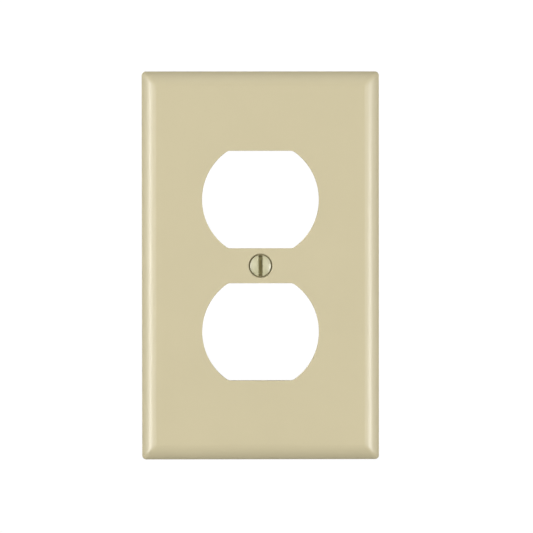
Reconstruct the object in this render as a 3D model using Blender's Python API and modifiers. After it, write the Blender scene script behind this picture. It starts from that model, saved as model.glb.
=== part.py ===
"""A single-gang wall plate for a duplex receptacle, with its screw and the washer that keeps the screw in.

Metres, +Z up. The plate stands as it does on a wall: X runs across it, Z runs up it, and its front faces -Y.
The origin is where the screw's axis meets the wall, so the plate's rear rim lies in the plane y = 0.

Every piece is modelled lying on its back, in the plate's own frame: x across, y up the plate, and z out of
the wall. The empty plate_frame then stands the whole object up.
"""

import math

import bmesh
import bpy
from mathutils import Matrix

MM = 0.001

# The plate's outer skin
PLATE_WIDTH = 69.85 * MM
PLATE_HEIGHT = 114.3 * MM
PLATE_DEPTH = 5.6 * MM
CORNER_RADIUS = 1.2 * MM
BEVEL_WIDTH = 4.4 * MM
BEVEL_START = math.radians(8)
BEVEL_END = math.radians(48)
EDGE_RADIUS = 0.8 * MM

# The hollow behind it
SKIN = 2.0 * MM
RIM = 2.0 * MM
POCKET_CORNER = 1.6 * MM

# The two openings for the receptacle's faces
OPENING_RADIUS = 17.15 * MM
OPENING_FLAT = 14.3 * MM
OPENING_CORNER = 2.0 * MM
OPENING_SPACING = 38.9 * MM
COLLAR = 1.6 * MM

# Stiffening behind the face. Collars and ribs stop short of the device's metal strap.
INTO_SKIN = 0.4 * MM
INTO_FACE = PLATE_DEPTH - SKIN + INTO_SKIN
COLLAR_REAR = 2.4 * MM
RIB_REAR = 2.6 * MM
RIB = 1.2 * MM
RIB_X = 12.0 * MM

# The screw's boss and countersink
BOSS_RADIUS = 4.6 * MM
BOSS_REAR = 2.2 * MM
HOLE_RADIUS = 2.0 * MM
SINK_RADIUS = 3.5 * MM
SINK_LIP = 0.6 * MM
SINK_HALF_ANGLE = math.radians(41)

# The 6-32 oval-head screw
HEAD_RADIUS = 3.1 * MM
HEAD_GAP = 0.12 * MM
HEAD_EDGE = 0.3 * MM
DOME = 0.7 * MM
SLOT_WIDTH = 1.2 * MM
SLOT_DEPTH = 1.5 * MM
SCREW_LENGTH = 12.7 * MM
PITCH = 25.4 / 32 * MM
THREAD_MAJOR = 3.505 / 2 * MM
THREAD_MINOR = 2.75 / 2 * MM
TIP_CHAMFER = 0.5 * MM

# The washer that is pushed over the thread
WASHER_RADIUS = 4.5 * MM
WASHER_HOLE = 1.86 * MM
WASHER_THICKNESS = 0.7 * MM
WASHER_GAP = 0.15 * MM
SLIT_WIDTH = 0.4 * MM
SLIT_REACH = 3.2 * MM
SLITS = 2

OVER = 1.0 * MM
PROUD = 0.02 * MM
MERGE = 0.005 * MM
WELD = 0.002 * MM
ARC_STEP = math.radians(7.5)
TURN_STEPS = 48
THREAD_STEPS = 24

ON_EDGE = Matrix.Rotation(math.radians(90), 4, "X")
ON_END = ON_EDGE @ Matrix.Rotation(math.radians(90), 4, "Y")

IVORY = (0.56, 0.50, 0.32, 1.0)
PAINT = (0.50, 0.48, 0.31, 1.0)
NYLON = (0.72, 0.70, 0.62, 1.0)


def clear_scene():
    for obj in list(bpy.data.objects):
        bpy.data.objects.remove(obj, do_unlink=True)


def make_collection(name):
    collection = bpy.data.collections.new(name)
    bpy.context.scene.collection.children.link(collection)
    return collection


def material(name, colour, roughness, metallic):
    made = bpy.data.materials.new(name)
    made.use_nodes = True
    shader = made.node_tree.nodes["Principled BSDF"]
    shader.inputs["Base Color"].default_value = colour
    shader.inputs["Roughness"].default_value = roughness
    shader.inputs["Metallic"].default_value = metallic
    made.diffuse_color = colour
    return made


def arc(centre, radius, start, end):
    """Points of an arc, both ends included."""
    steps = max(1, round(abs(end - start) / ARC_STEP))
    angles = (start + (end - start) * i / steps for i in range(steps + 1))
    return [(centre[0] + radius * math.cos(a), centre[1] + radius * math.sin(a)) for a in angles]


def add_mesh(name, mesh, collection):
    obj = bpy.data.objects.new(name, mesh)
    collection.objects.link(obj)
    obj.parent = plate_frame
    return obj


def add_bmesh(name, bm, collection):
    mesh = bpy.data.meshes.new(name)
    bmesh.ops.recalc_face_normals(bm, faces=bm.faces)
    bm.to_mesh(mesh)
    bm.free()
    return add_mesh(name, mesh, collection)


def evaluated_mesh(obj):
    """The object's mesh with its modifiers applied and loose seams welded. The object itself goes."""
    bpy.context.view_layer.update()
    graph = bpy.context.evaluated_depsgraph_get()
    mesh = bpy.data.meshes.new_from_object(obj.evaluated_get(graph))
    bpy.data.objects.remove(obj, do_unlink=True)
    bm = bmesh.new()
    bm.from_mesh(mesh)
    bmesh.ops.remove_doubles(bm, verts=bm.verts, dist=MERGE)
    bm.to_mesh(mesh)
    bm.free()
    return mesh


def prism(name, outline, low, high, collection, turn=None):
    """A flat outline filled and extruded from low to high along its own z, then turned."""
    curve = bpy.data.curves.new(name, "CURVE")
    curve.dimensions = "2D"
    curve.fill_mode = "BOTH"
    curve.extrude = (high - low) / 2
    spline = curve.splines.new("POLY")
    spline.points.add(len(outline) - 1)
    for point, (x, y) in zip(spline.points, outline):
        point.co = (x, y, 0, 1)
    spline.use_cyclic_u = True
    flat = bpy.data.objects.new(name, curve)
    collection.objects.link(flat)
    mesh = evaluated_mesh(flat)
    mesh.transform(Matrix.Translation((0, 0, (low + high) / 2)))
    if turn:
        mesh.transform(turn)
    return add_mesh(name, mesh, collection)


def turned(name, profile, collection, steps=TURN_STEPS):
    """A (radius, z) profile, listed from the top down, turned about z."""
    mesh = bpy.data.meshes.new(name)
    edges = [(i, i + 1) for i in range(len(profile) - 1)]
    mesh.from_pydata([(radius, 0, z) for radius, z in profile], edges, [])
    obj = add_mesh(name, mesh, collection)
    screw = obj.modifiers.new("turn", "SCREW")
    screw.axis = "Z"
    screw.steps = screw.render_steps = steps
    screw.use_merge_vertices = True
    screw.merge_threshold = MERGE
    return obj


def box(name, low, high, collection):
    bm = bmesh.new()
    bmesh.ops.create_cube(bm, size=1)
    size = [b - a for a, b in zip(low, high)]
    middle = [(a + b) / 2 for a, b in zip(low, high)]
    bmesh.ops.transform(bm, verts=bm.verts, matrix=Matrix.Translation(middle) @ Matrix.Diagonal((*size, 1)))
    return add_bmesh(name, bm, collection)


def cylinder(name, radius, low, high, collection, steps=TURN_STEPS):
    bm = bmesh.new()
    bmesh.ops.create_cone(
        bm, cap_ends=True, segments=steps, radius1=radius, radius2=radius, depth=high - low,
        matrix=Matrix.Translation((0, 0, (low + high) / 2)),
    )
    return add_bmesh(name, bm, collection)


def boolean(obj, other, operation, solver="EXACT"):
    modifier = obj.modifiers.new(f"{operation.lower()} {other.name}", "BOOLEAN")
    modifier.operation = operation
    modifier.solver = solver
    modifier.object = other
    other.hide_render = True
    other.display_type = "WIRE"


def smooth(obj, angle):
    obj.data.shade_smooth()
    obj.data.set_sharp_from_angle(angle=math.radians(angle))


# Sections and outlines


def bevel_arc():
    """(distance of the bevel arc's centre inside the edge, its height, its radius)."""
    edge_run = EDGE_RADIUS * (1 - math.sin(BEVEL_END))
    radius = (BEVEL_WIDTH - edge_run) / (math.sin(BEVEL_END) - math.sin(BEVEL_START))
    inside = BEVEL_WIDTH + radius * math.sin(BEVEL_START)
    return inside, PLATE_DEPTH - radius * math.cos(BEVEL_START), radius


def mirrored(half):
    """A half section from the middle outwards, closed by its mirror image."""
    return half + [(-x, z) for x, z in reversed(half)]


def skin_section(half_side):
    """The plate's outer section: flat face, crease, convex bevel, rounded edge and straight side."""
    inside, height, radius = bevel_arc()
    start, end = math.pi / 2 - BEVEL_START, math.pi / 2 - BEVEL_END
    bevel = arc((half_side - inside, height), radius, start, end)
    edge_centre = (half_side - EDGE_RADIUS, height + (radius - EDGE_RADIUS) * math.cos(BEVEL_END))
    return mirrored(bevel + arc(edge_centre, EDGE_RADIUS, end, 0)[1:] + [(half_side, 0)])


def pocket_section(half_side):
    """The hollow's section, one skin thickness inside the bevel, down past the rear rim."""
    inside, height, radius = bevel_arc()
    radius -= SKIN
    wall = half_side - RIM
    start = math.asin((PLATE_DEPTH - SKIN - height) / radius)
    end = math.acos((wall - half_side + inside) / radius)
    return mirrored(arc((half_side - inside, height), radius, start, end) + [(wall, -OVER)])


def corner_rounder(half_width, half_height, radius):
    """A rounded rectangle whose straight sides stand just proud of the part, so that only its corners cut."""
    corners = [(1, 1), (-1, 1), (-1, -1), (1, -1)]
    points = []
    for quarter, (sx, sy) in enumerate(corners):
        centre = (sx * (half_width + PROUD - radius), sy * (half_height + PROUD - radius))
        points += arc(centre, radius, quarter * math.pi / 2, (quarter + 1) * math.pi / 2)
    return points


def opening_outline(grow=0.0):
    """A circle cut off by two flats, its four corners rounded, grown outwards by the given width."""
    radius, flat, corner = OPENING_RADIUS + grow, OPENING_FLAT + grow, OPENING_CORNER + grow
    corner_y = flat - corner
    corner_x = math.sqrt((radius - corner) ** 2 - corner_y**2)
    tangent = math.atan2(corner_y, corner_x)
    side = arc((0, 0), radius, -tangent, tangent)
    right = side + arc((corner_x, corner_y), corner, tangent, math.pi / 2)[1:]
    left = [(-x, -y) for x, y in right]
    lower_right = arc((corner_x, -corner_y), corner, -math.pi / 2, -tangent)[:-1]
    upper_left = [(-x, -y) for x, y in lower_right]
    return lower_right + right + upper_left + left


def moved(outline, y):
    return [(px, py + y) for px, py in outline]


# Sub-parts


def make_plate(parts, cutters):
    """The moulded plate: a beveled shell, open behind, with two collared openings, a boss and ribs."""
    half_width, half_height = PLATE_WIDTH / 2, PLATE_HEIGHT / 2
    past = half_height + OVER
    top = PLATE_DEPTH + OVER
    outline = corner_rounder(half_width, half_height, CORNER_RADIUS)
    plate = prism("wall_plate", skin_section(half_width), -past, past, parts, ON_EDGE)
    keep = [
        prism("skin_up", skin_section(half_height), -past, past, cutters, ON_END),
        prism("skin_outline", outline, -OVER, top, cutters),
    ]
    outline = corner_rounder(half_width - RIM, half_height - RIM, POCKET_CORNER)
    pocket = prism("pocket", pocket_section(half_width), -past, past, cutters, ON_EDGE)
    shape_pocket = [
        prism("pocket_up", pocket_section(half_height), -past, past, cutters, ON_END),
        prism("pocket_outline", outline, -2 * OVER, top, cutters),
    ]
    add, cut = make_ribs(cutters), [make_countersink(cutters)]
    add.append(cylinder("boss", BOSS_RADIUS, BOSS_REAR, INTO_FACE, cutters))
    for side, name in ((1, "upper"), (-1, "lower")):
        centre = side * OPENING_SPACING / 2
        collar = moved(opening_outline(COLLAR), centre)
        opening = moved(opening_outline(), centre)
        add.append(prism(f"{name}_collar", collar, COLLAR_REAR, INTO_FACE, cutters))
        cut.append(prism(f"{name}_opening", opening, -OVER, top, cutters))

    # EXACT leaves seams open where the two sections meet along the mitres, and MANIFOLD doesn't.
    for other in shape_pocket:
        boolean(pocket, other, "INTERSECT", "MANIFOLD")
    steps = [("INTERSECT", keep), ("DIFFERENCE", [pocket]), ("UNION", add), ("DIFFERENCE", cut)]
    for operation, others in steps:
        for other in others:
            boolean(plate, other, operation, "MANIFOLD")
    weld = plate.modifiers.new("weld mitres", "WELD")
    weld.merge_threshold = WELD
    plate.modifiers.new("even triangles", "TRIANGULATE").ngon_method = "BEAUTY"
    smooth(plate, 30)
    return plate


def make_ribs(cutters):
    """Two ribs from the boss to the long sides, and four from the collars to the short sides."""
    in_side = PLATE_WIDTH / 2 - RIM + INTO_SKIN
    in_end = PLATE_HEIGHT / 2 - RIM + INTO_SKIN
    on_collar = OPENING_SPACING / 2 + OPENING_FLAT + COLLAR / 2
    ribs = []
    for side in (1, -1):
        ends = sorted((side * (HOLE_RADIUS + RIB), side * in_side))
        low, high = (ends[0], -RIB / 2, RIB_REAR), (ends[1], RIB / 2, INTO_FACE)
        ribs.append(box(f"cross_rib_{'right' if side > 0 else 'left'}", low, high, cutters))
        for x in (RIB_X, -RIB_X):
            start = OPENING_SPACING / 2 + math.sqrt((OPENING_RADIUS + COLLAR / 2) ** 2 - RIB_X**2)
            ends = sorted((side * min(start, on_collar), side * in_end))
            low, high = (x - RIB / 2, ends[0], RIB_REAR), (x + RIB / 2, ends[1], INTO_FACE)
            ribs.append(box(f"end_rib_{len(ribs)}", low, high, cutters))
    return ribs


def make_countersink(cutters):
    sink_top = PLATE_DEPTH - SINK_LIP
    sink_bottom = sink_top - (SINK_RADIUS - HOLE_RADIUS) / math.tan(SINK_HALF_ANGLE)
    above, below = PLATE_DEPTH + OVER, BOSS_REAR - OVER
    profile = [
        (0, above), (SINK_RADIUS, above), (SINK_RADIUS, sink_top),
        (HOLE_RADIUS, sink_bottom), (HOLE_RADIUS, below), (0, below),
    ]
    return turned("countersink", profile, cutters)


def head_rim_height():
    """The height of the head's widest edge, with the head's cone clear of the countersink by HEAD_GAP."""
    run = (SINK_RADIUS - HEAD_RADIUS) / math.tan(SINK_HALF_ANGLE)
    return PLATE_DEPTH - SINK_LIP - run + HEAD_GAP / math.sin(SINK_HALF_ANGLE)


def make_screw(parts, cutters):
    """The oval head and its cone, the threaded shank, and the driver slot."""
    rim = head_rim_height()
    neck = rim - (HEAD_RADIUS - THREAD_MINOR) / math.tan(SINK_HALF_ANGLE)
    dome_radius = (HEAD_RADIUS**2 + DOME**2) / (2 * DOME)
    rim_angle = math.acos(HEAD_RADIUS / dome_radius)
    dome = arc((0, rim + HEAD_EDGE + DOME - dome_radius), dome_radius, math.pi / 2, rim_angle)
    dome[0] = (0, rim + HEAD_EDGE + DOME)
    profile = dome + [(HEAD_RADIUS, rim), (THREAD_MINOR, neck), (0, neck)]
    screw = turned("mounting_screw", profile, parts)
    tip = rim + HEAD_EDGE - SCREW_LENGTH
    thread_top = rim - (HEAD_RADIUS - THREAD_MAJOR) / math.tan(SINK_HALF_ANGLE) + PITCH / 4
    boolean(screw, make_thread(tip, thread_top, cutters), "UNION")
    top = rim + HEAD_EDGE + DOME
    low = (-SLOT_WIDTH / 2, -HEAD_RADIUS - OVER, top - SLOT_DEPTH)
    high = (SLOT_WIDTH / 2, HEAD_RADIUS + OVER, top + OVER)
    boolean(screw, box("slot", low, high, cutters), "DIFFERENCE")
    smooth(screw, 35)
    return screw


def make_thread(tip, top, cutters):
    """A 60 degree single-start helix, trimmed by a turned envelope with a chamfered tip."""
    crest = PITCH / 8
    flank = (THREAD_MAJOR - THREAD_MINOR) * math.tan(math.radians(30))
    low = (PITCH - crest) / 2 - flank
    start = tip - 2 * PITCH
    profile = [
        (THREAD_MINOR, start), (THREAD_MINOR, start + low), (THREAD_MAJOR, start + low + flank),
        (THREAD_MAJOR, start + low + flank + crest), (THREAD_MINOR, start + PITCH - low),
        (THREAD_MINOR, start + PITCH),
    ]
    helix = turned("helix", profile[::-1], cutters, THREAD_STEPS)
    screw = helix.modifiers["turn"]
    screw.screw_offset = PITCH
    screw.iterations = math.ceil((top - start) / PITCH) + 2
    bm = bmesh.new()
    bm.from_mesh(evaluated_mesh(helix))
    edges = [edge for edge in bm.edges if edge.is_boundary]
    caps = bmesh.ops.holes_fill(bm, edges=edges)["faces"]
    for centre in bmesh.ops.poke(bm, faces=caps)["verts"]:
        centre.co.x = centre.co.y = 0
    thread = add_bmesh("thread", bm, cutters)
    wide = THREAD_MAJOR + PITCH / 4
    narrow = THREAD_MAJOR - TIP_CHAMFER
    envelope = [(0, top), (wide, top), (wide, tip + wide - narrow), (narrow, tip), (0, tip)]
    boolean(thread, turned("envelope", envelope, cutters), "INTERSECT")
    return thread


def make_washer(parts, cutters):
    """A thin disc whose bore is slit into fingers, so that it pushes over the thread and stays there."""
    top = BOSS_REAR - WASHER_GAP
    washer = cylinder("retaining_washer", WASHER_RADIUS, top - WASHER_THICKNESS, top, parts)
    low, high = top - WASHER_THICKNESS - OVER, top + OVER
    boolean(washer, cylinder("washer_bore", WASHER_HOLE, low, high, cutters), "DIFFERENCE")
    for i in range(SLITS):
        corner = (-SLIT_REACH, -SLIT_WIDTH / 2, low)
        slit = box(f"slit_{i}", corner, (SLIT_REACH, SLIT_WIDTH / 2, high), cutters)
        slit.rotation_euler.z = math.pi * (i + 0.5) / SLITS
        boolean(washer, slit, "DIFFERENCE")
    smooth(washer, 30)
    return washer


clear_scene()
parts = make_collection("duplex_wall_plate")
cutters = make_collection("cutters")
plate_frame = bpy.data.objects.new("plate_frame", None)
parts.objects.link(plate_frame)
plate_frame.rotation_euler.x = math.radians(90)

make_plate(parts, cutters).data.materials.append(material("ivory_plastic", IVORY, 0.3, 0.0))
make_screw(parts, cutters).data.materials.append(material("painted_screw", PAINT, 0.3, 0.0))
make_washer(parts, cutters).data.materials.append(material("nylon", NYLON, 0.45, 0.0))
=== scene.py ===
"""The looks of a duplex receptacle's wall plate: fine meshes, materials, light and camera.

Metres, in the frame's own axes: X runs across the plate, Z runs up it and its front faces -Y. Every piece
is shaped lying on its back, with z out of the wall and z = 0 at the wall, and STAND then stands it up.
"""

import math

import bmesh
import bpy
from mathutils import Matrix, Vector


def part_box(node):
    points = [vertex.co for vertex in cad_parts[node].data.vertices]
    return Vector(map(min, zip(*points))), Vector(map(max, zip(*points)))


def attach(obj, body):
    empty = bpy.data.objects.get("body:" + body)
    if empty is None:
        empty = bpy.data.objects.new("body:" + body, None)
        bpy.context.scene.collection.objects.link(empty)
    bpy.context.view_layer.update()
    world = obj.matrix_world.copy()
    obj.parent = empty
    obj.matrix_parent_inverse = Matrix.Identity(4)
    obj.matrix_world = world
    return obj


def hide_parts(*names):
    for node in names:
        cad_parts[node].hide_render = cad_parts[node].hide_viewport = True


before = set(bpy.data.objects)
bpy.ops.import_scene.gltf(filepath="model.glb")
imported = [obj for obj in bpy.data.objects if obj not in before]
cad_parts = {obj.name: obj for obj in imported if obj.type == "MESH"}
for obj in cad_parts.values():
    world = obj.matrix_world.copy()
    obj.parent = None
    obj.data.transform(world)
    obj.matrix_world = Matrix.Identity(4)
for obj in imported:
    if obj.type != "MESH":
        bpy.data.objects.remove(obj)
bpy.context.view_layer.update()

MM = 0.001
STAND = Matrix.Rotation(math.radians(90), 4, "X")

# The plate's outer skin, whose width, height and depth come from the frame
plate_low, plate_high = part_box("wall_plate")
HALF_WIDTH = plate_high.x
HALF_HEIGHT = plate_high.z
DEPTH = -plate_low.y
CORNER_RADIUS = 1.2 * MM
EDGE_RADIUS = 0.8 * MM
RIM_EDGE = 0.15 * MM

# Its convex bevel, whose slope grows from the crease to the edge. The crease is eased over twice CREASE_HALF.
BEVEL_WIDTH = 4.4 * MM
BEVEL_START = math.radians(8)
BEVEL_END = math.radians(48)
CREASE_CORNER = 0.5 * MM
CREASE_HALF = 0.15 * MM

# The hollow behind it
SKIN = 2.0 * MM
FLOOR = DEPTH - SKIN
RIM = 2.0 * MM
RIM_LIP = 0.2 * MM
POCKET_CORNER = 1.6 * MM
POCKET_FLOOR_CORNER = 0.5 * MM

# The two openings and their collars
OPENING_RADIUS = 17.15 * MM
OPENING_FLAT = 14.3 * MM
OPENING_CORNER = 2.0 * MM
OPENING_SPACING = 38.9 * MM
OPENING_EDGE = 0.15 * MM
OPENING_DRAFT = 0.04 * MM
COLLAR = 1.6 * MM
COLLAR_REAR = 2.4 * MM

# Moulded details behind the face, each of which reaches a little way into the skin
INTO_SKIN = SKIN / 4
REAR_EDGE = 0.2 * MM
FLOOR_FILLET = 0.4 * MM
REAR_DRAFT = 0.03 * MM
RIB_REAR = 2.6 * MM
RIB = 1.2 * MM
RIB_X = 12.0 * MM
RIB_INTO_RIM = 0.4 * MM
BOSS_RADIUS = 4.6 * MM
BOSS_REAR = 2.2 * MM
PAD_RADIUS = 2.4 * MM
PAD_RISE = 0.12 * MM
PAD_EDGE = 0.05 * MM
PAD_PLACES = [(27 * MM, 8 * MM), (27 * MM, 48 * MM), (5 * MM, 47 * MM)]

# The countersink
HOLE_RADIUS = 2.0 * MM
SINK_RADIUS = 3.5 * MM
SINK_LIP = 0.6 * MM
SINK_HALF_ANGLE = math.radians(41)
SINK_EDGE = 0.3 * MM

# The 6-32 oval-head screw
HEAD_RADIUS = 3.1 * MM
HEAD_GAP = 0.12 * MM
HEAD_EDGE = 0.3 * MM
HEAD_ROUND = 0.04 * MM
DOME = 0.7 * MM
DOME_END = math.radians(89)
SLOT_WIDTH = 1.2 * MM
SLOT_DEPTH = 1.5 * MM
SCREW_LENGTH = 12.7 * MM
PITCH = 25.4 / 32 * MM
THREAD_MAJOR = 3.505 / 2 * MM
THREAD_MINOR = 2.75 / 2 * MM
THREAD_ROUND = 0.025 * MM
CORE = 0.8 * THREAD_MINOR
TIP_CHAMFER = 0.5 * MM

# The washer pushed over the thread
WASHER_RADIUS = 4.5 * MM
WASHER_HOLE = 1.86 * MM
WASHER_THICKNESS = 0.7 * MM
WASHER_GAP = 0.15 * MM
WASHER_EDGE = 0.12 * MM
SLIT_WIDTH = 0.4 * MM
SLIT_REACH = 3.2 * MM
SLITS = 2

# Colours
IVORY = (0.494, 0.440, 0.286)
# Painted shade: the countersink's walls are coloured much darker than the ivory, to stand for the unlit gap
# round the screw's head
SINK_PAINTED_SHADE = (0.30, 0.26, 0.15)
ENAMEL = (0.458, 0.438, 0.280)
SLOT = (0.47, 0.435, 0.25)
ZINC = (0.62, 0.60, 0.54)
NYLON = (0.78, 0.76, 0.68)

# The camera, a little to the left of the plate's middle and above it
CAMERA_PLACE = Vector((-7.1, -962.3, 18.9)) * MM
CAMERA_PITCH = math.radians(-1.145)
CAMERA_ROLL = math.radians(0.05)
CAMERA_YAW = math.radians(-0.53)
LENS = 220
SENSOR = 36
NEAREST = 0.01

# The studio: how bright it is in front of the plate, behind it, and to the camera
FRONT_GLOW = 0.03
BACK_GLOW = 0.5
WHITE_GLOW = 1.02

# Its backdrop begins, and is at its brightest, where the Y of a direction reaches these values
BACKDROP_BEGINS = 0.1
BACKDROP_FULL = 0.8

# The floor
FLOOR_HEIGHT = -0.6
FLOOR_RADIUS = 4.0
FLOOR_COLOUR = (0.1, 0.1, 0.1)
FLOOR_GLOW = (0.9, 0.9, 0.89)
FLOOR_GLOW_STRENGTH = 0.95

# Cutters leave a flat surface, and fillets enter one, by this shallow slope, so that no two faces coincide
LIFT_RUN = 0.8 * MM
LIFT = LIFT_RUN * math.tan(math.radians(8))

# How the shapes are made
OVER = 1.0 * MM
WELD = 0.0002 * MM
ARC_STEP = math.radians(12)
SMALL_STEPS = 5
CORNER_STEPS = 8
EDGE_STEPS = 8
POCKET_STEPS = 16
DOME_STEPS = 20
BEVEL_STEPS = 24
TURN_STEPS = 96
THREAD_STEPS = 64
SMOOTH_ANGLE = math.radians(32)

# The least part of a normal along its axis, for a wall of the slot and for a face turned to the front
WALL_NORMAL = 0.99
FRONT_NORMAL = 0.5

# Noise mostly lies between these two values
NOISE_LOW = 0.3
NOISE_HIGH = 0.7


# Outlines and profiles


def arc(centre, radius, start, end, steps):
    """Points of an arc, both ends included."""
    angles = (start + (end - start) * i / steps for i in range(steps + 1))
    return [(centre[0] + radius * math.cos(a), centre[1] + radius * math.sin(a)) for a in angles]


def rounded(corners):
    """A polyline through (x, z, radius) corners, each one turned into an arc of its radius."""
    points = []
    for i, (x, z, radius) in enumerate(corners):
        corner = Vector((x, z))
        if not radius:
            points.append((x, z))
            continue
        before = (Vector(corners[i - 1][:2]) - corner).normalized()
        after = (Vector(corners[i + 1][:2]) - corner).normalized()
        half = before.angle(after) / 2
        centre = corner + (before + after).normalized() * (radius / math.sin(half))
        start = corner + before * (radius / math.tan(half)) - centre
        turn = math.pi - 2 * half
        if before.x * after.y - before.y * after.x > 0:
            turn = -turn
        steps = max(2, round(abs(turn) / ARC_STEP))
        first = math.atan2(start.y, start.x)
        points += arc(centre, radius, first, first + turn, steps)
    return points


def rounded_rectangle(half_width, half_height, radius):
    """A rectangle about the origin, its four corners rounded."""
    points = []
    for quarter, (sx, sy) in enumerate([(1, 1), (-1, 1), (-1, -1), (1, -1)]):
        centre = (sx * (half_width - radius), sy * (half_height - radius))
        start = quarter * math.pi / 2
        points += arc(centre, radius, start, start + math.pi / 2, CORNER_STEPS)
    return points


def opening_outline(grow):
    """A circle cut off by two flats, its four corners rounded, grown outwards by the given width."""
    radius, flat, corner = OPENING_RADIUS + grow, OPENING_FLAT + grow, OPENING_CORNER + grow
    corner_y = flat - corner
    corner_x = math.sqrt((radius - corner) ** 2 - corner_y**2)
    tangent = math.atan2(corner_y, corner_x)
    side = arc((0, 0), radius, -tangent, tangent, TURN_STEPS // 3)
    right = side + arc((corner_x, corner_y), corner, tangent, math.pi / 2, CORNER_STEPS)[1:]
    left = [(-x, -y) for x, y in right]
    lower_right = arc((corner_x, -corner_y), corner, -math.pi / 2, -tangent, CORNER_STEPS)[:-1]
    upper_left = [(-x, -y) for x, y in lower_right]
    return lower_right + right + upper_left + left


def circle_outline(radius):
    return arc((0, 0), radius, 0, math.tau, TURN_STEPS)[:-1]


def bevel_arc():
    """(distance of the bevel arc's centre inside the edge, its height, its radius)."""
    edge_run = EDGE_RADIUS * (1 - math.sin(BEVEL_END))
    radius = (BEVEL_WIDTH - edge_run) / (math.sin(BEVEL_END) - math.sin(BEVEL_START))
    return BEVEL_WIDTH + radius * math.sin(BEVEL_START), DEPTH - radius * math.cos(BEVEL_START), radius


def slope_arc(inside, height, radius, start, end, steps):
    """(inset, height) points of an arc between two slopes, of which 0 is level and pi / 2 a side wall."""
    slopes = (start + (end - start) * i / steps for i in range(steps + 1))
    return [(inside - radius * math.sin(s), height + radius * math.cos(s)) for s in slopes]


def skin_profile():
    """The outer skin as (inset, height): rim edge, side wall, rounded edge, convex bevel, crease and face."""
    inside, height, radius = bevel_arc()
    rim = slope_arc(RIM_EDGE, RIM_EDGE, RIM_EDGE, math.pi, math.pi / 2, SMALL_STEPS)
    edge_height = height + (radius - EDGE_RADIUS) * math.cos(BEVEL_END)
    edge = slope_arc(EDGE_RADIUS, edge_height, EDGE_RADIUS, math.pi / 2, BEVEL_END, EDGE_STEPS)
    crease = math.asin((radius * math.sin(BEVEL_START) + CREASE_HALF) / radius)
    bevel = slope_arc(inside, height, radius, BEVEL_END, crease, BEVEL_STEPS)
    drop = radius * (math.cos(BEVEL_START) - math.cos(crease))
    crease_radius = drop / (1 - math.cos(crease))
    crease_inside = BEVEL_WIDTH - CREASE_HALF + crease_radius * math.sin(crease)
    eased = slope_arc(crease_inside, DEPTH - crease_radius, crease_radius, crease, 0, SMALL_STEPS)
    return rim + edge + bevel[1:] + eased[1:]


def pocket_profile():
    """The hollow as (inset, height), from below the rim to the floor, its mouth flared by a small lip."""
    inside, height, radius = bevel_arc()
    radius -= SKIN
    wall_slope = math.asin((inside - RIM) / radius)
    floor_slope = math.acos((FLOOR - height) / radius)
    wall = slope_arc(inside, height, radius, wall_slope, floor_slope, POCKET_STEPS)
    flare = RIM - LIFT_RUN
    mouth = [(flare, -OVER, 0), (flare, -LIFT, 0), (RIM, 0, RIM_LIP), (*wall[0], 0)]
    return rounded(mouth) + wall[1:]


def standing_profile(width, rear):
    """(outwards, height) of a rib, collar or boss, with a rounded rear edge and a fillet at the floor."""
    foot = width + REAR_DRAFT
    return rounded([
        (0, rear, 0),
        (width, rear, REAR_EDGE),
        (foot, FLOOR, FLOOR_FILLET),
        (foot + LIFT_RUN, FLOOR + LIFT, 0),
        (foot + LIFT_RUN, FLOOR + INTO_SKIN, 0),
    ])[1:]


def opening_profile():
    """(growth, height) of the cut through the face and the collar, with a rounded edge at both ends."""
    flare = OPENING_DRAFT + LIFT_RUN
    return rounded([
        (flare, -OVER, 0),
        (flare, COLLAR_REAR - LIFT, 0),
        (OPENING_DRAFT, COLLAR_REAR, REAR_EDGE),
        (0, DEPTH, OPENING_EDGE),
        (LIFT_RUN, DEPTH + LIFT, 0),
        (LIFT_RUN, DEPTH + OVER, 0),
    ])


def countersink_profile():
    """(radius, height) of the screw's hole through the boss, then the cone, a short wall and its edge."""
    sink_top = DEPTH - SINK_LIP
    sink_bottom = sink_top - (SINK_RADIUS - HOLE_RADIUS) / math.tan(SINK_HALF_ANGLE)
    flare = HOLE_RADIUS + LIFT_RUN
    return rounded([
        (flare, BOSS_REAR - OVER, 0),
        (flare, BOSS_REAR - LIFT, 0),
        (HOLE_RADIUS, BOSS_REAR, REAR_EDGE),
        (HOLE_RADIUS, sink_bottom, 0),
        (SINK_RADIUS, sink_top, SINK_EDGE),
        (SINK_RADIUS, DEPTH, SINK_EDGE),
        (SINK_RADIUS + LIFT_RUN, DEPTH + LIFT, 0),
        (SINK_RADIUS + LIFT_RUN, DEPTH + OVER, 0),
    ])


# Meshes


def new_object(name, bm):
    """An object in the scene with this mesh, its faces turned outwards."""
    bmesh.ops.recalc_face_normals(bm, faces=bm.faces)
    mesh = bpy.data.meshes.new(name)
    bm.to_mesh(mesh)
    bm.free()
    obj = bpy.data.objects.new(name, mesh)
    bpy.context.scene.collection.objects.link(obj)
    return obj


def loft(name, rings):
    """A closed solid through rings of equally many points, with a flat cap at each end."""
    bm = bmesh.new()
    rows = [[bm.verts.new(point) for point in ring] for ring in rings]
    for low, high in zip(rows, rows[1:]):
        for i in range(len(low)):
            bm.faces.new((low[i - 1], low[i], high[i], high[i - 1]))
    bm.faces.new(rows[0])
    bm.faces.new(rows[-1])
    return new_object(name, bm)


def loft_outline(name, outline, profile, centre=(0, 0)):
    """A loft through outline(growth) at each (growth, height) of a profile."""
    cx, cy = centre
    return loft(name, [[(x + cx, y + cy, z) for x, y in outline(grow)] for grow, z in profile])


def loft_plate(name, profile, corner):
    """A loft through rounded rectangles at each (inset, height), with corner(inset) their corner radius."""
    def outline(inset):
        return rounded_rectangle(HALF_WIDTH - inset, HALF_HEIGHT - inset, corner(inset))
    return loft_outline(name, outline, profile)


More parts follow.
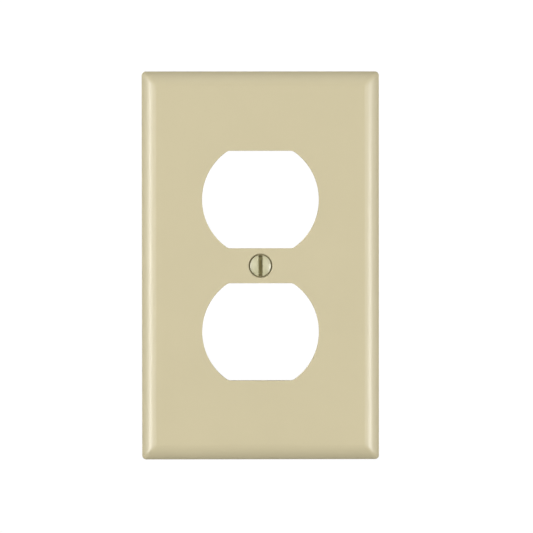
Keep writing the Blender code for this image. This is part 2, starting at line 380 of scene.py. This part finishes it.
def bar(name, half_section, start, end, across=0, along_x=False):
    """A symmetric section, given as (outwards, height) for one half, swept along y or x from start to end."""
    section = half_section + [(-x, z) for x, z in reversed(half_section)]
    if along_x:
        return loft(name, [[(along, across + x, z) for x, z in section] for along in (start, end)])
    return loft(name, [[(across + x, along, z) for x, z in section] for along in (start, end)])


def combined(name, obj, steps):
    """The object's mesh after (operation, others) Booleans. The objects that it was made from go."""
    used = [obj]
    for operation, others in steps:
        for other in others:
            modifier = obj.modifiers.new(other.name, "BOOLEAN")
            modifier.operation = operation
            modifier.solver = "MANIFOLD"
            modifier.object = other
            used.append(other)
    bpy.context.view_layer.update()
    graph = bpy.context.evaluated_depsgraph_get()
    mesh = bpy.data.meshes.new_from_object(obj.evaluated_get(graph))
    for other in used:
        bpy.data.objects.remove(other, do_unlink=True)
    bm = bmesh.new()
    bm.from_mesh(mesh)
    bmesh.ops.remove_doubles(bm, verts=bm.verts, dist=WELD)
    bmesh.ops.dissolve_degenerate(bm, edges=bm.edges, dist=WELD)
    return new_object(name, bm)


def finish_piece(obj, body, node):
    """Stands the piece up, shades it, and puts it in the place of its CAD node."""
    obj.data.transform(STAND)
    obj.data.shade_smooth()
    obj.data.set_sharp_from_angle(angle=SMOOTH_ANGLE)
    weighted = obj.modifiers.new("weighted normals", "WEIGHTED_NORMAL")
    weighted.keep_sharp = True
    weighted.weight = 100
    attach(obj, body)
    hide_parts(node)


def paint(obj, materials, choose):
    """Gives each face the material whose key choose(centre, normal) returns, in the lying frame."""
    order = list(materials)
    for name in order:
        obj.data.materials.append(materials[name])
    for face in obj.data.polygons:
        face.material_index = order.index(choose(face.center, face.normal))


# The plate


def skin_corner(inset):
    """The corner radius of the skin's outline: CORNER_RADIUS at the edge, CREASE_CORNER at the face."""
    return CREASE_CORNER + (CORNER_RADIUS - CREASE_CORNER) * max(0, 1 - inset / BEVEL_WIDTH)


def pocket_corner(inset):
    """The corner radius of the hollow's outline, from the rim to the floor."""
    share = max(0, inset - RIM) / (BEVEL_WIDTH - RIM)
    return POCKET_CORNER + (POCKET_FLOOR_CORNER - POCKET_CORNER) * min(1, share)


def make_collars_and_boss():
    made = []
    collar = standing_profile(COLLAR, COLLAR_REAR)
    for side in (1, -1):
        centre = (0, side * OPENING_SPACING / 2)
        made.append(loft_outline("collar", opening_outline, collar, centre))
    made.append(loft_outline("boss", circle_outline, standing_profile(BOSS_RADIUS, BOSS_REAR)))
    return made


def make_ribs():
    """Two ribs from the boss to the long sides, and four from the collars to the short sides."""
    section = standing_profile(RIB / 2, RIB_REAR)
    in_side = HALF_WIDTH - RIM + RIB_INTO_RIM
    in_end = HALF_HEIGHT - RIM + RIB_INTO_RIM
    reach = math.sqrt((OPENING_RADIUS + COLLAR / 2) ** 2 - RIB_X**2)
    ribs = []
    for side in (1, -1):
        ends = sorted((side * (HOLE_RADIUS + RIB), side * in_side))
        ribs.append(bar("cross rib", section, *ends, along_x=True))
        for x in (RIB_X, -RIB_X):
            ends = sorted((side * (OPENING_SPACING / 2 + reach), side * in_end))
            ribs.append(bar("end rib", section, *ends, across=x))
    return ribs


def make_pads():
    """The low round pads that the ejector pins leave."""
    profile = rounded([
        (PAD_RADIUS / 2, FLOOR - PAD_RISE, 0),
        (PAD_RADIUS, FLOOR - PAD_RISE, PAD_EDGE),
        (PAD_RADIUS, FLOOR + INTO_SKIN, 0),
    ])
    return [
        loft_outline("pad", circle_outline, profile, (sx * x, sy * y))
        for x, y in PAD_PLACES for sx in (1, -1) for sy in (1, -1)
    ]


def make_plate():
    """The hollow skin, with the details behind the face added, and the openings and countersink cut last."""
    skin = loft_plate("skin", skin_profile(), skin_corner)
    pocket = loft_plate("pocket", pocket_profile(), pocket_corner)
    add = make_collars_and_boss() + make_ribs() + make_pads()
    cut = [loft_outline("countersink", circle_outline, countersink_profile())]
    for side in (1, -1):
        centre = (0, side * OPENING_SPACING / 2)
        cut.append(loft_outline("opening", opening_outline, opening_profile(), centre))
    steps = [("DIFFERENCE", [pocket]), ("UNION", add), ("DIFFERENCE", cut)]
    return combined("moulded_plate", skin, steps)


def in_sink(centre):
    """True for a face inside the screw's hole, below its rounded edge."""
    return math.hypot(centre.x, centre.y) < SINK_RADIUS + WELD and centre.z < DEPTH - SINK_EDGE


def is_rear(centre, normal):
    """True for a face of the recess: behind the skin, inside the rim, and not turned to the front."""
    inside = abs(centre.x) < HALF_WIDTH - RIM / 2 and abs(centre.y) < HALF_HEIGHT - RIM / 2
    return inside and centre.z < FLOOR + WELD and normal.z < FRONT_NORMAL


def plate_material(centre, normal):
    """The key of the material of a face of the plate."""
    # The countersink's faces take the darker colour, which is painted shade for the gap round the head
    if in_sink(centre):
        return "sink"
    return "rear" if is_rear(centre, normal) else "ivory"


# The screw


def head_rim_height():
    """The height of the head's widest edge, with the head's cone clear of the countersink by HEAD_GAP."""
    run = (SINK_RADIUS - HEAD_RADIUS) / math.tan(SINK_HALF_ANGLE)
    return DEPTH - SINK_LIP - run + HEAD_GAP / math.sin(SINK_HALF_ANGLE)


def cone_height(radius):
    """The height at which the cone under the head has this radius."""
    return head_rim_height() - (HEAD_RADIUS - radius) / math.tan(SINK_HALF_ANGLE)


def slot_floor_height():
    return head_rim_height() + HEAD_EDGE + DOME - SLOT_DEPTH


def make_thread(tip, top):
    """A 60 degree single-start helix, begun below the tip and trimmed by a turned envelope with a chamfer."""
    crest = PITCH / 8
    flank = (THREAD_MAJOR - THREAD_MINOR) * math.tan(math.radians(30))
    low = (PITCH - crest) / 2 - flank
    start = tip - 2 * PITCH
    profile = rounded([
        (THREAD_MINOR, start, 0),
        (THREAD_MINOR, start + low, THREAD_ROUND),
        (THREAD_MAJOR, start + low + flank, THREAD_ROUND),
        (THREAD_MAJOR, start + low + flank + crest, THREAD_ROUND),
        (THREAD_MINOR, start + PITCH - low, THREAD_ROUND),
        (THREAD_MINOR, start + PITCH, 0),
    ])
    turns = math.ceil((top - start) / PITCH) + 2
    bm = bmesh.new()
    rows = []
    for step in range((turns + 1) * THREAD_STEPS):
        rise = PITCH * step / THREAD_STEPS
        turn = Matrix.Rotation(math.tau * step / THREAD_STEPS, 3, "Z")
        rows.append([bm.verts.new(turn @ Vector((r, 0, z + rise))) for r, z in profile[:-1]])
    for step in range(turns * THREAD_STEPS - 1):
        here = rows[step] + [rows[step + THREAD_STEPS][0]]
        there = rows[step + 1] + [rows[step + 1 + THREAD_STEPS][0]]
        for i in range(len(profile) - 1):
            bm.faces.new((here[i], there[i], there[i + 1], here[i + 1]))
    loose = [vert for vert in bm.verts if not vert.link_faces]
    bmesh.ops.delete(bm, geom=loose, context="VERTS")
    edges = [edge for edge in bm.edges if edge.is_boundary]
    caps = bmesh.ops.holes_fill(bm, edges=edges)["faces"]
    for centre in bmesh.ops.poke(bm, faces=caps)["verts"]:
        centre.co.x = centre.co.y = 0
    helix = new_object("helix", bm)
    wide = THREAD_MAJOR + PITCH / 4
    narrow = THREAD_MAJOR - TIP_CHAMFER
    profile = [(narrow, tip), (wide, tip + wide - narrow), (wide, top)]
    return combined("thread", helix, [("INTERSECT", [loft_outline("envelope", circle_outline, profile)])])


def make_screw():
    """The oval head with its slot, its cone, and the threaded shank."""
    rim = head_rim_height()
    core_end = cone_height(CORE)
    dome_radius = (HEAD_RADIUS**2 + DOME**2) / (2 * DOME)
    rim_angle = math.acos(HEAD_RADIUS / dome_radius)
    dome_centre = rim + HEAD_EDGE + DOME - dome_radius
    dome = arc((0, dome_centre), dome_radius, rim_angle, DOME_END, DOME_STEPS)
    under = rounded([
        (CORE, core_end - PITCH, 0),
        (CORE, core_end, 0),
        (HEAD_RADIUS, rim, HEAD_ROUND),
        (HEAD_RADIUS, rim + HEAD_EDGE, HEAD_ROUND),
        (*dome[1], 0),
    ])
    head = loft_outline("head", circle_outline, under + dome[2:])
    thread = make_thread(rim + HEAD_EDGE - SCREW_LENGTH, cone_height(THREAD_MAJOR) + PITCH / 4)
    floor = slot_floor_height()
    section = [(SLOT_WIDTH / 2, floor), (SLOT_WIDTH / 2, floor + SLOT_DEPTH + OVER)]
    reach = HEAD_RADIUS + OVER
    slot = bar("slot", section, -reach, reach)
    return combined("slotted_screw", head, [("UNION", [thread]), ("DIFFERENCE", [slot])])


def in_slot(centre, normal):
    """True for a face of the driver slot's floor or of its two walls."""
    floor = slot_floor_height()
    between = abs(centre.x) < SLOT_WIDTH / 2 + WELD and centre.z > floor - WELD
    return between and (abs(normal.x) > WALL_NORMAL or abs(centre.z - floor) < WELD)


def screw_material(centre, normal):
    """The key of the material of a face of the screw. The enamel ends where the cone meets the thread."""
    if in_slot(centre, normal):
        return "slot"
    return "enamel" if centre.z > cone_height(THREAD_MAJOR) else "zinc"


# The washer


def make_washer():
    """A thin disc whose bore is slit into fingers, so that it pushes over the thread and stays there."""
    top = BOSS_REAR - WASHER_GAP
    bottom = top - WASHER_THICKNESS
    disc = rounded([
        (WASHER_HOLE / 2, bottom, 0),
        (WASHER_RADIUS, bottom, WASHER_EDGE),
        (WASHER_RADIUS, top, WASHER_EDGE),
        (WASHER_HOLE / 2, top, 0),
    ])
    flare = WASHER_HOLE + LIFT_RUN
    bore = rounded([
        (flare, bottom - OVER, 0),
        (flare, bottom - LIFT, 0),
        (WASHER_HOLE, bottom, WASHER_EDGE),
        (WASHER_HOLE, top, WASHER_EDGE),
        (flare, top + LIFT, 0),
        (flare, top + OVER, 0),
    ])
    cut = [loft_outline("bore", circle_outline, bore)]
    section = [(SLIT_WIDTH / 2, bottom - OVER), (SLIT_WIDTH / 2, top + OVER)]
    for i in range(SLITS):
        slit = bar("slit", section, -SLIT_REACH, SLIT_REACH, along_x=True)
        slit.data.transform(Matrix.Rotation(math.pi * (i + 0.5) / SLITS, 4, "Z"))
        cut.append(slit)
    return combined("nylon_washer", loft_outline("disc", circle_outline, disc), [("DIFFERENCE", cut)])


# Materials


def set_inputs(node, **values):
    """Sets a node's own sockets, whose names have spaces where the keywords have underscores."""
    for key, value in values.items():
        node.inputs[key.replace("_", " ")].default_value = value


def shader_material(name, colour, roughness, **inputs):
    """A material with its Principled shader's own sockets set."""
    made = bpy.data.materials.new(name)
    made.use_nodes = True
    shader = made.node_tree.nodes["Principled BSDF"]
    set_inputs(shader, Base_Color=(*colour, 1), Roughness=roughness, **inputs)
    return made


def add_noise(made, size, detail=2.0):
    """Noise with features about this size, in the piece's own coordinates."""
    nodes, links = made.node_tree.nodes, made.node_tree.links
    place = nodes.new("ShaderNodeTexCoord")
    noise = nodes.new("ShaderNodeTexNoise")
    set_inputs(noise, Scale=1 / size, Detail=detail)
    links.new(place.outputs["Object"], noise.inputs["Vector"])
    return noise.outputs["Fac"]


def vary_colour(made, colour, low, high, size):
    """Lets the base colour vary between low and high times a colour, in patches of this size."""
    nodes, links = made.node_tree.nodes, made.node_tree.links
    ramp = nodes.new("ShaderNodeValToRGB")
    shades = ((NOISE_LOW, low), (NOISE_HIGH, high))
    for element, (position, factor) in zip(ramp.color_ramp.elements, shades):
        element.position = position
        element.color = (*(channel * factor for channel in colour), 1)
    links.new(add_noise(made, size, detail=4.0), ramp.inputs["Fac"])
    links.new(ramp.outputs["Color"], nodes["Principled BSDF"].inputs["Base Color"])


def vary_roughness(made, low, high, size):
    """Lets the roughness vary from low to high, in patches of this size."""
    nodes, links = made.node_tree.nodes, made.node_tree.links
    spread = nodes.new("ShaderNodeMapRange")
    set_inputs(spread, From_Min=NOISE_LOW, From_Max=NOISE_HIGH, To_Min=low, To_Max=high)
    links.new(add_noise(made, size, detail=3.0), spread.inputs["Value"])
    links.new(spread.outputs["Result"], nodes["Principled BSDF"].inputs["Roughness"])


def add_relief(made, *layers):
    """Bump from (size, depth) layers of noise, the first one underneath."""
    nodes, links = made.node_tree.nodes, made.node_tree.links
    normal = None
    for size, depth in layers:
        bump = nodes.new("ShaderNodeBump")
        bump.inputs["Distance"].default_value = depth
        links.new(add_noise(made, size), bump.inputs["Height"])
        if normal:
            links.new(normal, bump.inputs["Normal"])
        normal = bump.outputs["Normal"]
    links.new(normal, nodes["Principled BSDF"].inputs["Normal"])


def make_ivory():
    """Glossy moulded ivory, with faint flow marks and the shallow ripple of a polished mould."""
    made = shader_material("ivory_plastic", IVORY, 0.28)
    vary_colour(made, IVORY, 0.99, 1.01, 14 * MM)
    vary_roughness(made, 0.274, 0.286, 12 * MM)
    add_relief(made, (9 * MM, 0.01 * MM))
    return made


def make_sink():
    """The walls of the countersink: unpolished, and darkened with painted shade for the deep gap round the
    screw's head.
    """
    made = shader_material("countersink", SINK_PAINTED_SHADE, 0.6)
    vary_colour(made, SINK_PAINTED_SHADE, 0.85, 1.1, 0.8 * MM)
    vary_roughness(made, 0.5, 0.7, 0.5 * MM)
    add_relief(made, (0.4 * MM, 0.004 * MM))
    return made


def make_rear():
    """The same ivory where the mould is only milled: duller, and finely grained."""
    made = shader_material("ivory_rear", IVORY, 0.55)
    vary_colour(made, IVORY, 0.95, 1.0, 6 * MM)
    vary_roughness(made, 0.45, 0.62, 0.8 * MM)
    add_relief(made, (1.4 * MM, 0.008 * MM), (0.25 * MM, 0.006 * MM))
    return made


def make_enamel():
    """Baked enamel on the screw's head, a little paler than the plate and softly rippled."""
    made = shader_material("ivory_enamel", ENAMEL, 0.24)
    vary_colour(made, ENAMEL, 0.96, 1.03, 0.9 * MM)
    vary_roughness(made, 0.18, 0.26, 0.5 * MM)
    add_relief(made, (0.7 * MM, 0.003 * MM))
    return made


def make_slot():
    """The floor and walls of the slot, where the enamel is thin and dull."""
    made = shader_material("slot", SLOT, 0.6, Specular_IOR_Level=0.25)
    vary_colour(made, SLOT, 0.88, 1.1, 0.5 * MM)
    vary_roughness(made, 0.5, 0.7, 0.4 * MM)
    add_relief(made, (0.5 * MM, 0.003 * MM))
    return made


def make_zinc():
    """Bright zinc plating on the shank."""
    made = shader_material("zinc", ZINC, 0.3, Metallic=1.0)
    vary_colour(made, ZINC, 0.85, 1.05, 1.5 * MM)
    vary_roughness(made, 0.22, 0.4, 0.6 * MM)
    add_relief(made, (0.2 * MM, 0.002 * MM))
    return made


def make_nylon():
    """Milky natural nylon."""
    made = shader_material("nylon", NYLON, 0.42, Subsurface_Weight=0.3, Subsurface_Scale=0.8 * MM)
    vary_colour(made, NYLON, 0.95, 1.02, 2 * MM)
    vary_roughness(made, 0.36, 0.5, 0.4 * MM)
    add_relief(made, (0.5 * MM, 0.004 * MM))
    return made


# Light, world, floor and camera


def softbox(name, azimuth, elevation, width, height, power, distance=1.0):
    """A soft light aimed at the plate, placed by its angles right of and above the straight-on view."""
    across, up = math.radians(azimuth), math.radians(elevation)
    data = bpy.data.lights.new(name, "AREA")
    data.shape = "RECTANGLE"
    data.size = width
    data.size_y = height
    data.energy = power
    obj = bpy.data.objects.new(name, data)
    bpy.context.scene.collection.objects.link(obj)
    away = Vector((math.sin(across) * math.cos(up), -math.cos(across) * math.cos(up), math.sin(up)))
    obj.location = away * distance
    obj.rotation_euler = (-away).to_track_quat("-Z", "Y").to_euler()
    obj.visible_camera = False


def make_camera():
    """A long lens in front of the plate, level but for small turns."""
    data = bpy.data.cameras.new("camera")
    data.lens = LENS
    data.sensor_width = SENSOR
    data.clip_start = NEAREST
    obj = bpy.data.objects.new("camera", data)
    bpy.context.scene.collection.objects.link(obj)
    turn = Matrix.Rotation(CAMERA_YAW, 4, "Z") @ Matrix.Rotation(CAMERA_PITCH, 4, "X")
    turn = turn @ Matrix.Rotation(CAMERA_ROLL, 4, "Y")
    obj.matrix_world = Matrix.Translation(CAMERA_PLACE) @ turn @ STAND
    bpy.context.scene.camera = obj


def make_world():
    """White to the camera. For the rest, a pale backdrop behind the plate and a dark studio before it."""
    world = bpy.data.worlds.new("studio")
    bpy.context.scene.world = world
    world.use_nodes = True
    nodes, links = world.node_tree.nodes, world.node_tree.links
    nodes.clear()
    out = nodes.new("ShaderNodeOutputWorld")
    mix = nodes.new("ShaderNodeMixShader")
    path = nodes.new("ShaderNodeLightPath")
    place = nodes.new("ShaderNodeTexCoord")
    split = nodes.new("ShaderNodeSeparateXYZ")
    behind = nodes.new("ShaderNodeMapRange")
    soft = nodes.new("ShaderNodeBackground")
    white = nodes.new("ShaderNodeBackground")
    set_inputs(behind, From_Min=BACKDROP_BEGINS, From_Max=BACKDROP_FULL)
    set_inputs(behind, To_Min=FRONT_GLOW, To_Max=BACK_GLOW)
    set_inputs(soft, Color=(1, 1, 1, 1))
    set_inputs(white, Color=(1, 1, 1, 1), Strength=WHITE_GLOW)
    links.new(place.outputs["Generated"], split.inputs["Vector"])
    links.new(split.outputs["Y"], behind.inputs["Value"])
    links.new(behind.outputs["Result"], soft.inputs["Strength"])
    links.new(path.outputs["Is Camera Ray"], mix.inputs["Fac"])
    links.new(soft.outputs["Background"], mix.inputs[1])
    links.new(white.outputs["Background"], mix.inputs[2])
    links.new(mix.outputs["Shader"], out.inputs["Surface"])


def make_floor():
    """A pale floor well below the plate, out of the main view. It glows, or the dark studio would grey it."""
    bm = bmesh.new()
    bmesh.ops.create_circle(bm, cap_ends=True, segments=TURN_STEPS, radius=FLOOR_RADIUS)
    floor = new_object("floor", bm)
    floor.location.z = FLOOR_HEIGHT
    glow = {"Emission_Color": (*FLOOR_GLOW, 1), "Emission_Strength": FLOOR_GLOW_STRENGTH}
    floor.data.materials.append(shader_material("floor", FLOOR_COLOUR, 0.9, **glow))
    floor.visible_diffuse = False
    floor.visible_glossy = False


def make_lights():
    """Tall softboxes on both sides, none of them straight ahead, and weak light from above and behind."""
    softbox("left box", -46, 5, 0.88, 0.9, 6.6)
    softbox("left strip", -51, -9, 0.135, 0.65, 3.4, distance=0.9)
    softbox("left fill", -76, 5, 0.15, 0.9, 0.9)
    softbox("right box", 43, 5, 0.93, 0.9, 5.8)
    softbox("right strip", 48, -11, 0.17, 0.54, 3.1, distance=0.9)
    softbox("right fill", 76, 5, 0.15, 0.9, 1.3)
    softbox("top fill", 0, 60, 0.9, 0.8, 1.6)
    softbox("back left", -140, 35, 0.6, 0.6, 7.0)
    softbox("back right", 140, 5, 0.4, 0.8, 2.5)


plate = make_plate()
paint(plate, {"ivory": make_ivory(), "rear": make_rear(), "sink": make_sink()}, plate_material)
finish_piece(plate, "plate", "wall_plate")

screw = make_screw()
paint(screw, {"enamel": make_enamel(), "slot": make_slot(), "zinc": make_zinc()}, screw_material)
finish_piece(screw, "screw", "mounting_screw")

washer = make_washer()
washer.data.materials.append(make_nylon())
finish_piece(washer, "keeper", "retaining_washer")

make_camera()
make_world()
make_floor()
make_lights()
bpy.context.scene.view_settings.view_transform = "Standard"
